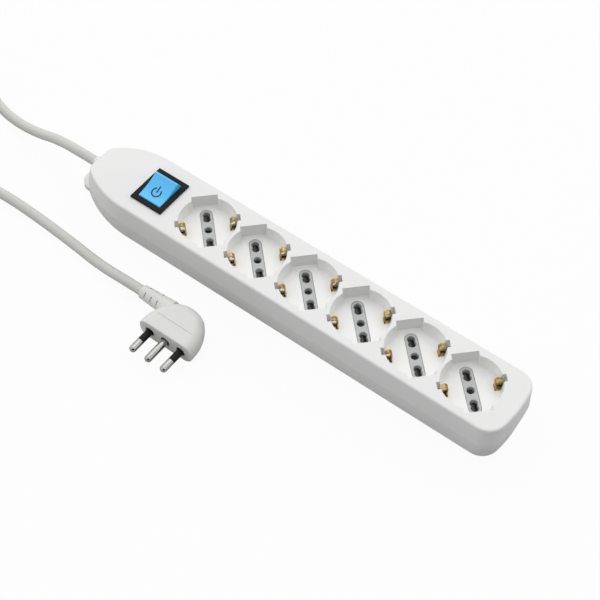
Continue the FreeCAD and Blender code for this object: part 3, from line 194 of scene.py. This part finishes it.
def new_group(name, inputs):
    """A group with named inputs, which puts out colour, roughness and height."""
    tree = bpy.data.node_groups.new(name, "ShaderNodeTree")
    for label, kind, value in inputs:
        socket = tree.interface.new_socket(name=label, in_out="INPUT", socket_type=kind)
        socket.default_value = value
    for label, kind in (("Color", "NodeSocketColor"), ("Roughness", "NodeSocketFloat"),
                        ("Height", "NodeSocketFloat")):
        tree.interface.new_socket(name=label, in_out="OUTPUT", socket_type=kind)
    given = tree.nodes.new("NodeGroupInput").outputs
    leave = tree.nodes.new("NodeGroupOutput")
    return tree, given, leave


def moulded_group():
    """Fine even grain with slow changes of tone, as on an injection moulding."""
    if "Moulded Skin" in bpy.data.node_groups:
        return bpy.data.node_groups["Moulded Skin"]
    tree, given, leave = new_group("Moulded Skin", [
        ("Color", "NodeSocketColor", (0.8, 0.8, 0.8, 1)),
        ("Tone Change", "NodeSocketFloat", 0.03),
        ("Grain Size", "NodeSocketFloat", 2600.0),
        ("Roughness", "NodeSocketFloat", 0.35),
        ("Roughness Change", "NodeSocketFloat", 0.06),
    ])
    place = add_node(tree, "TexCoord").outputs["Object"]
    slow = add_node(tree, "TexNoise", {"Vector": place, "Scale": 28.0, "Detail": 3.0}).outputs["Fac"]
    grain = add_node(tree, "TexNoise", {"Vector": place, "Scale": given["Grain Size"], "Detail": 2.0})
    darkest = add_node(tree, "Math", {0: 1.0, 1: given["Tone Change"]}, operation="SUBTRACT")
    tone = add_node(tree, "MapRange", {"Value": slow, "From Min": 0.3, "From Max": 0.7,
                                       "To Min": darkest.outputs[0], "To Max": 1.0})
    shade = add_node(tree, "Mix", data_type="RGBA", blend_type="MULTIPLY",
                     inputs={"Factor": 1.0, "A": given["Color"], "B": tone.outputs["Result"]})
    rough = add_node(tree, "Math", operation="MULTIPLY_ADD",
                     inputs={0: slow, 1: given["Roughness Change"], 2: given["Roughness"]})
    wire(tree, leave, {"Color": shade.outputs["Result"], "Roughness": rough.outputs[0],
                       "Height": grain.outputs["Fac"]})
    return tree


def worked_metal_group():
    """Drawn or stamped metal: fine lines along one direction and darker tarnish in patches."""
    if "Worked Metal" in bpy.data.node_groups:
        return bpy.data.node_groups["Worked Metal"]
    tree, given, leave = new_group("Worked Metal", [
        ("Color", "NodeSocketColor", (0.7, 0.6, 0.3, 1)),
        ("Tarnish", "NodeSocketColor", (0.2, 0.12, 0.04, 1)),
        ("Tarnish Amount", "NodeSocketFloat", 0.35),
        ("Roughness", "NodeSocketFloat", 0.25),
    ])
    tarnish_roughness = 0.4
    place = add_node(tree, "TexCoord").outputs["Object"]
    patches = add_node(tree, "TexNoise", {"Vector": place, "Scale": 260.0, "Detail": 4.0})
    stretch = add_node(tree, "Mapping", {"Vector": place, "Scale": (1.0, 1.0, 0.06)})
    lines = add_node(tree, "TexNoise", {"Vector": stretch.outputs["Vector"], "Scale": 5200.0})
    amount = add_node(tree, "MapRange", {"Value": patches.outputs["Fac"], "From Min": 0.42,
                                         "From Max": 0.66, "To Max": given["Tarnish Amount"]})
    mix = add_node(tree, "Mix", data_type="RGBA", inputs={
        "Factor": amount.outputs["Result"], "A": given["Color"], "B": given["Tarnish"]})
    rough = add_node(tree, "Math", operation="MULTIPLY_ADD", inputs={
        0: amount.outputs["Result"], 1: tarnish_roughness, 2: given["Roughness"]})
    wire(tree, leave, {"Color": mix.outputs["Result"], "Roughness": rough.outputs[0],
                       "Height": lines.outputs["Fac"]})
    return tree


# ---------------------------------------------------------------- materials
def finish(name, group, group_inputs, bump_inputs, shader_inputs):
    """A material whose colour, roughness and bump come from a shader group."""
    material = bpy.data.materials.new(name)
    material.use_nodes = True
    tree = material.node_tree
    skin = add_node(tree, "Group", group_inputs, node_tree=group)
    bump = add_node(tree, "Bump", {"Height": skin.outputs["Height"], **bump_inputs})
    wire(tree, tree.nodes["Principled BSDF"], {
        "Base Color": skin.outputs["Color"], "Roughness": skin.outputs["Roughness"],
        "Normal": bump.outputs["Normal"], **shader_inputs})
    return material


def moulded(name, color, roughness=0.35, tone=0.03, grain_size=2600.0, depth=8e-6, coat=0.0, shine=0.5):
    """Moulded plastic, made once for each name."""
    if name in bpy.data.materials:
        return bpy.data.materials[name]
    return finish(name, moulded_group(),
                  {"Color": color, "Tone Change": tone, "Grain Size": grain_size, "Roughness": roughness},
                  {"Strength": 0.6, "Distance": depth},
                  {"Coat Weight": coat, "Specular IOR Level": shine})


def metal(name, color, tarnish, amount, roughness):
    """Bare or plated metal, made once for each name."""
    if name in bpy.data.materials:
        return bpy.data.materials[name]
    return finish(name, worked_metal_group(),
                  {"Color": (*color, 1), "Tarnish": (*tarnish, 1), "Tarnish Amount": amount,
                   "Roughness": roughness},
                  {"Strength": 0.3, "Distance": 4e-6},
                  {"Metallic": 1.0})


def stamped_brass():
    return metal("Stamped Brass", color=(0.58, 0.41, 0.13), tarnish=(0.14, 0.075, 0.02), amount=0.8,
                 roughness=0.2)


def sheath(look):
    return moulded("Sheath Grey", look.sheath, roughness=0.42, tone=0.03, depth=4e-6)


# ---------------------------------------------------------------- housing and sockets
class FinishHousing(bpy.types.Operator):
    """Finish the covers, socket wells, gland, clamp and screws"""
    bl_idname = "powerstrip.finish_housing"
    bl_label = "Finish housing"

    top = 36 * MM
    fade_start = top - 1.6 * MM
    fade_end = top - 0.4 * MM

    def fade_painted_light_to_top(self, white, look):
        """Give the wells' flush rims the shell's colour, so that only the recesses keep the lighter well
        white, which is painted light for the light bouncing inside the white recesses.
        """
        tree = white.node_tree
        place = add_node(tree, "TexCoord").outputs["Object"]
        split = add_node(tree, "SeparateXYZ", {"Vector": place})
        near_top = add_node(tree, "MapRange", {
            "Value": split.outputs["Z"], "From Min": self.fade_start, "From Max": self.fade_end})
        mix = add_node(tree, "Mix", data_type="RGBA", inputs={
            "Factor": near_top.outputs["Result"], "A": look.well, "B": look.shell})
        skin = next(node for node in tree.nodes if node.type == "GROUP")
        wire(tree, skin, {"Color": mix.outputs["Result"]})

    def execute(self, context):
        look = context.scene.strip_housing
        shell = moulded("Housing White", look.shell, roughness=0.34, tone=0.02, depth=look.grain)
        dress(["top_cover", "base_cover", "cord_gland", "cord_clamp"], shell)
        # Painted light: the wells get a lighter white than the shell, in place of the light that bounces
        # inside the recesses.
        white = moulded("Well White", look.well, roughness=0.34, tone=0.02, depth=look.grain)
        self.fade_painted_light_to_top(white, look)
        dress([name for name in NODES if name.startswith("socket_well")], white)
        zinc = metal("Zinc Screw", color=(0.55, 0.56, 0.58), tarnish=(0.25, 0.25, 0.26), amount=0.5,
                     roughness=0.3)
        dress(["housing_screws", "clamp_screws"], zinc)
        return {"FINISHED"}


class FinishSockets(bpy.types.Operator):
    """Finish the inserts, shutters, springs, earth brackets and bars"""
    bl_idname = "powerstrip.finish_sockets"
    bl_label = "Finish sockets"

    def execute(self, context):
        look = context.scene.strip_housing
        grey = moulded("Insert Grey", look.insert, roughness=0.45, tone=0.05)
        dark = moulded("Shutter Grey", look.shutter, roughness=0.5, tone=0.15)
        steel = metal("Spring Steel", color=(0.5, 0.5, 0.5), tarnish=(0.2, 0.2, 0.2), amount=0.3,
                      roughness=0.3)
        for number in "123456":
            dress(["socket_insert_" + number], grey)
            dress(["shutter_" + number], dark)
            dress(["earth_bracket_" + number], stamped_brass())
            dress(["shutter_spring_" + number], steel)
        dress(["live_bar", "neutral_bar", "earth_bar"], stamped_brass())
        return {"FINISHED"}


# ---------------------------------------------------------------- switch
class FinishSwitch(bpy.types.Operator):
    """Finish the bezel, rocker and the parts below it"""
    bl_idname = "powerstrip.finish_switch"
    bl_label = "Finish switch"

    def execute(self, context):
        look = context.scene.strip_switch
        black = moulded("Bezel Black", look.bezel, roughness=0.42, tone=0.2, shine=0.12)
        blue = moulded("Rocker Blue", look.rocker, roughness=0.16, tone=0.04, depth=2e-6, coat=0.3)
        glass = moulded("Lamp Glass", (0.75, 0.45, 0.25, 1), roughness=0.08, depth=0)
        dress(["switch_frame", "rocker_plungers"], black)
        dress(["switch_rocker"], blue)
        dress(["switch_terminals", "switch_contact_levers"], stamped_brass())
        dress(["switch_lamp"], glass)
        return {"FINISHED"}


class PrintMark(bpy.types.Operator):
    """Lay the ring and bar of the on-off mark into the rocker's dish"""
    bl_idname = "powerstrip.print_mark"
    bl_label = "Print mark"

    pivot_depth = 3.3 * MM
    corner_radius = 11.7 * MM
    corner_angle = math.radians(33)
    dish = 1.5 * MM
    tilt = math.radians(17)
    bar_start = -0.2 * MM
    thickness = 0.06 * MM
    ring_steps = 72
    bar_steps = 16

    def on_dish(self, x, y):
        """Point on the tilted dish above a flat point, measured from the rocker's middle."""
        edge_y = self.corner_radius * math.cos(self.corner_angle)
        edge_z = self.corner_radius * math.sin(self.corner_angle)
        bend = (edge_y ** 2 + self.dish ** 2) / (2 * self.dish)
        z = edge_z - self.dish + bend - math.sqrt(bend ** 2 - y ** 2)
        return Matrix.Rotation(self.tilt, 3, "X") @ Vector((x, y, z))

    def flat_ring(self, context, look):
        """Open ring, flat at the origin."""
        outer = look.ring_radius + look.stroke / 2
        inner = look.ring_radius - look.stroke / 2
        bpy.ops.mesh.primitive_circle_add(vertices=self.ring_steps, radius=outer, fill_type="NOTHING",
                                          location=(0, 0, 0))
        ring = context.object
        bpy.ops.object.mode_set(mode="EDIT")
        bpy.ops.mesh.select_all(action="SELECT")
        bpy.ops.mesh.extrude_edges_move()
        bpy.ops.transform.resize(value=(inner / outer, inner / outer, 1))
        mesh = bmesh.from_edit_mesh(ring.data)
        for face in mesh.faces:
            middle = face.calc_center_median()
            face.select = -look.gap_left < math.atan2(middle.x, middle.y) < look.gap_right
        bmesh.update_edit_mesh(ring.data)
        bpy.ops.mesh.delete(type="FACE")
        bpy.ops.object.mode_set(mode="OBJECT")
        return ring

    def flat_bar(self, context, look):
        """Bar in the ring's gap, flat at the origin."""
        bpy.ops.mesh.primitive_grid_add(x_subdivisions=2, y_subdivisions=self.bar_steps, size=1,
                                        location=(0, 0, 0))
        bar = context.object
        bar.scale = (look.stroke, look.bar_end - self.bar_start, 1)
        bar.location = (0, (look.bar_end + self.bar_start) / 2, 0)
        bpy.ops.object.transform_apply(location=True, rotation=True, scale=True)

    def face_up(self, ring):
        """Turn every face towards the sky."""
        make_active(ring)
        bpy.ops.object.mode_set(mode="EDIT")
        bpy.ops.mesh.select_all(action="SELECT")
        bpy.ops.mesh.normals_make_consistent(inside=False)
        mesh = bmesh.from_edit_mesh(ring.data)
        if sum(face.normal.z for face in mesh.faces) < 0:
            bpy.ops.mesh.flip_normals()
        bpy.ops.object.mode_set(mode="OBJECT")

    def execute(self, context):
        look = context.scene.strip_switch
        deselect_all()
        ring = self.flat_ring(context, look)
        deselect_all()
        self.flat_bar(context, look)
        ring.select_set(True)
        context.view_layer.objects.active = ring
        bpy.ops.object.join()
        low, high = (Vector(corner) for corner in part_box("switch_frame"))
        pivot = Vector(((low.x + high.x) / 2, 0.0, high.z - self.pivot_depth))
        for vertex in ring.data.vertices:
            vertex.co = self.on_dish(vertex.co.x, vertex.co.y + look.mark_shift) + pivot
        self.face_up(ring)
        coat = ring.modifiers.new("Coat", "SOLIDIFY")
        coat.thickness = self.thickness
        coat.offset = 1.0
        ink = moulded("Mark Ink", look.mark, roughness=0.35, tone=0.1, depth=1e-6)
        settle(ring, "power_mark", ink)
        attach(ring, "rocker")
        return {"FINISHED"}


# ---------------------------------------------------------------- lead and plug
FLOOR = 3.65 * MM
COIL_MIDDLE = Vector((-0.330, -0.020, 0.0))
LEAD_MOUTH = Vector((-0.166975, 0.0, 0.026))


class LayLead(bpy.types.Operator):
    """Lay the lead from the gland through its coil to the plug"""
    bl_idname = "powerstrip.lay_lead"
    bl_label = "Lay lead"

    gland_run = (
        LEAD_MOUTH,
        (-0.184, 0.0, 0.026),
        (-0.206, 0.0026, 0.0204),
        (-0.228, 0.0040, 0.0110),
        (-0.249, 0.0056, 0.0054),
        (-0.270, 0.0086, FLOOR),
        (-0.290, 0.0158, FLOOR + 0.0002),
        (-0.310, 0.0246, FLOOR + 0.00015),
    )
    plug_run = (
        (-0.302, -0.0620, FLOOR + 0.0075),
        (-0.275, -0.0586, FLOOR + 0.0034),
        (-0.246, -0.0528, FLOOR),
        (-0.214, -0.0490, FLOOR + 0.0003),
        (-0.178, -0.0498, FLOOR),
        (-0.144, -0.0524, FLOOR + 0.0002),
        (-0.116, -0.0554, FLOOR + 0.0009),
        (-0.09196, -0.0565, 0.0083),
        (-0.0775, -0.0565, 0.0083),
    )
    # angle round the coil in degrees, radius and height above the floor turns in millimetres
    coil_way = (
        (90, 45.8, 0.0), (366, 45.8, 0.0),                      # outer floor turn
        (430, 38.35, 0.0), (726, 38.35, 0.0),                   # middle floor turn
        (790, 30.9, 0.0), (1008, 30.9, 0.0),                    # inner floor turn
        (1032, 30.8, 4.0), (1052, 32.4, 6.9),                   # climbs into the groove above
        (1068, 34.65, 7.5), (1150, 34.65, 7.5),                 # over the middle turn's crossing
        (1170, 34.65, 6.5), (1356, 34.65, 6.5),                 # inner top turn
        (1368, 35.2, 7.6), (1396, 41.6, 7.6),                   # across to the outer groove
        (1406, 42.1, 7.5), (1512, 42.1, 7.5),                   # over the outer turn's crossing
        (1530, 42.1, 6.5), (1680, 42.1, 6.5), (1710, 42.1, 7.5),  # outer top turn
    )

    def coil_run(self, look):
        """Control points of the coil's turns, set out so that the smooth curve keeps their radius."""
        step = 360 / look.turn_points
        # a curve of order 3 passes each point this share of the way out from the coil's middle
        shrink = 0.75 + 0.25 * math.cos(math.radians(step))
        points = []
        turn = self.coil_way[0][0]
        for start, end in zip(self.coil_way, self.coil_way[1:]):
            while turn <= end[0]:
                part = (turn - start[0]) / (end[0] - start[0])
                reach = (start[1] + part * (end[1] - start[1])) / shrink * MM
                rise = (start[2] + part * (end[2] - start[2])) * MM
                spot = Matrix.Rotation(math.radians(turn), 3, "Z") @ Vector((reach, 0, FLOOR + rise))
                points.append(spot + COIL_MIDDLE)
                turn += step
        return points

    def execute(self, context):
        look = context.scene.strip_lead
        points = list(self.gland_run) + self.coil_run(look) + list(self.plug_run)
        line = bpy.data.curves.new("lead", "CURVE")
        line.dimensions = "3D"
        line.bevel_depth = look.diameter / 2
        line.bevel_resolution = 7
        line.resolution_u = 10
        line.use_fill_caps = True
        spline = line.splines.new("NURBS")
        spline.points.add(len(points) - 1)
        for knot, place in zip(spline.points, points):
            knot.co = (*place, 1.0)
        spline.order_u = 3
        spline.use_endpoint_u = True
        lead = bpy.data.objects.new("lead", line)
        context.collection.objects.link(lead)
        line.materials.append(sheath(look))
        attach(lead, "housing")
        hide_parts("gland_lead", "cord_coil", "plug_lead")
        return {"FINISHED"}


class FinishLead(bpy.types.Operator):
    """Finish the lead inside the gland, its cores and the plug"""
    bl_idname = "powerstrip.finish_lead"
    bl_label = "Finish lead"

    core_colours = (
        ("live_cores", "Core Brown", (0.10, 0.035, 0.012, 1)),
        ("neutral_cores", "Core Blue", (0.02, 0.08, 0.42, 1)),
        ("earth_core", "Core Green", (0.10, 0.32, 0.03, 1)),
    )

    def execute(self, context):
        look = context.scene.strip_lead
        dress(["cord_entry"], sheath(look))
        for node_name, finish_name, colour in self.core_colours:
            dress([node_name], moulded(finish_name, colour, roughness=0.4))
        plug = moulded("Plug White", look.plug, roughness=0.36, tone=0.03)
        dress(["plug_body", "plug_strain_relief"], plug)
        black = moulded("Pin Black", (0.010, 0.010, 0.010, 1), roughness=0.4, shine=0.2)
        dress(["plug_pin_carrier", "plug_pin_sleeves"], black)
        nickel = metal("Pin Nickel", color=(0.46, 0.45, 0.43), tarnish=(0.20, 0.19, 0.18), amount=0.2,
                       roughness=0.05)
        dress(["plug_live_pin", "plug_earth_pin", "plug_neutral_pin"], nickel)
        return {"FINISHED"}


# ---------------------------------------------------------------- stage
class SetStage(bpy.types.Operator):
    """Floor, light and camera"""
    bl_idname = "powerstrip.set_stage"
    bl_label = "Set stage"

    look_origin = Vector((0.0394, 0.0, 0.026))
    look_shift = Vector((-0.022484, 0.004693, 0.951345))    # right, up and back, in the camera's axes
    sensor_width = 36.0
    nearest = 10 * MM

    floor_size = 6.0
    floor_drop = 0.1 * MM
    floor_grey = (0.57, 0.57, 0.57, 1)
    floor_roughness = 0.9
    floor_glow = 1.02
    floor_glow_share = 0.92

    dim_side = (0.68, -0.71, 0.17)
    dim_starts = 0.4        # cosine of the angle from dim_side
    dim_ends = 0.95

    key_place = Vector((-0.5, 1.0, 1.6))
    key_size = 1.6

    def camera(self, context, look):
        turn = (Matrix.Rotation(look.azimuth, 3, "Z") @ Matrix.Rotation(math.pi / 2 - look.elevation, 3, "X")
                @ Matrix.Rotation(look.roll, 3, "Z"))
        place = turn @ self.look_shift + self.look_origin
        bpy.ops.object.camera_add(location=place, rotation=turn.to_euler())
        camera = context.object
        camera.data.lens = look.lens
        camera.data.sensor_width = self.sensor_width
        camera.data.clip_start = self.nearest
        context.scene.camera = camera

    def floor(self, context):
        """Pale floor that the camera sees as near white, and that keeps the shadow."""
        bpy.ops.mesh.primitive_grid_add(x_subdivisions=4, y_subdivisions=4, size=self.floor_size,
                                        location=(0, 0, -self.floor_drop))
        floor = context.object
        floor.name = "floor"
        material = bpy.data.materials.new("Floor White")
        material.use_nodes = True
        tree = material.node_tree
        shader = tree.nodes["Principled BSDF"]
        wire(tree, shader, {"Base Color": self.floor_grey, "Roughness": self.floor_roughness})
        glow = add_node(tree, "Emission", {"Strength": self.floor_glow})
        ray = add_node(tree, "LightPath").outputs["Is Camera Ray"]
        share = add_node(tree, "Math", {0: ray, 1: self.floor_glow_share}, operation="MULTIPLY")
        blend = add_node(tree, "MixShader", {
            "Fac": share.outputs[0], 1: shader.outputs[0], 2: glow.outputs[0]})
        wire(tree, tree.nodes["Material Output"], {"Surface": blend.outputs[0]})
        floor.data.materials.append(material)

    def sky(self, context, look):
        """Even light that fades on the viewer's side, behind a white background."""
        world = bpy.data.worlds.new("Studio")
        context.scene.world = world
        world.use_nodes = True
        tree = world.node_tree
        place = add_node(tree, "TexCoord").outputs["Generated"]
        facing = add_node(tree, "VectorMath", {0: place, 1: self.dim_side}, operation="DOT_PRODUCT")
        fade = add_node(tree, "MapRange", interpolation_type="SMOOTHSTEP", inputs={
            "Value": facing.outputs["Value"], "From Min": self.dim_starts, "From Max": self.dim_ends,
            "To Min": look.sky, "To Max": look.sky * look.dim})
        light = tree.nodes["Background"]
        wire(tree, light, {"Color": WHITE, "Strength": fade.outputs["Result"]})
        white = add_node(tree, "Background", {"Color": WHITE, "Strength": 1.0})
        ray = add_node(tree, "LightPath").outputs["Is Camera Ray"]
        blend = add_node(tree, "MixShader", {"Fac": ray, 1: light.outputs[0], 2: white.outputs[0]})
        wire(tree, tree.nodes["World Output"], {"Surface": blend.outputs[0]})

    def key_lamp(self, context, look):
        """Large soft lamp, aimed at the strip's middle."""
        turn = (-self.key_place).to_track_quat("-Z", "Y").to_euler()
        bpy.ops.object.light_add(type="AREA", location=self.key_place, rotation=turn)
        lamp = context.object
        lamp.name = "key"
        lamp.data.size = self.key_size
        lamp.data.energy = look.key

    def execute(self, context):
        look = context.scene.strip_stage
        deselect_all()
        self.floor(context)
        self.sky(context, look)
        self.key_lamp(context, look)
        self.camera(context, look)
        context.scene.view_settings.view_transform = "Standard"
        return {"FINISHED"}


# ---------------------------------------------------------------- panel and registration
STEPS = (SetStage, LayLead, FinishHousing, FinishSockets, FinishSwitch, PrintMark, FinishLead)


class PowerStripPanel(bpy.types.Panel):
    """Lists each piece's operator and its settings"""
    bl_idname = "VIEW3D_PT_power_strip"
    bl_label = "Power Strip"
    bl_space_type = "VIEW_3D"
    bl_region_type = "UI"
    bl_category = "Power Strip"

    def draw(self, context):
        for step in STEPS:
            self.layout.operator(step.bl_idname)
        for group_name, group in GROUPS:
            box = self.layout.box()
            settings = getattr(context.scene, group_name)
            for prop in group.__annotations__:
                box.prop(settings, prop)


CLASSES = tuple(group for _, group in GROUPS) + STEPS + (PowerStripPanel,)


def register():
    for cls in CLASSES:
        bpy.utils.register_class(cls)
    for group_name, group in GROUPS:
        setattr(bpy.types.Scene, group_name, PointerProperty(type=group))


def unregister():
    for group_name, _ in GROUPS:
        delattr(bpy.types.Scene, group_name)
    for cls in reversed(CLASSES):
        bpy.utils.unregister_class(cls)


def main():
    register()
    for step in STEPS:
        area, _, action = step.bl_idname.partition(".")
        getattr(getattr(bpy.ops, area), action)()


if __name__ == "__main__":
    main()
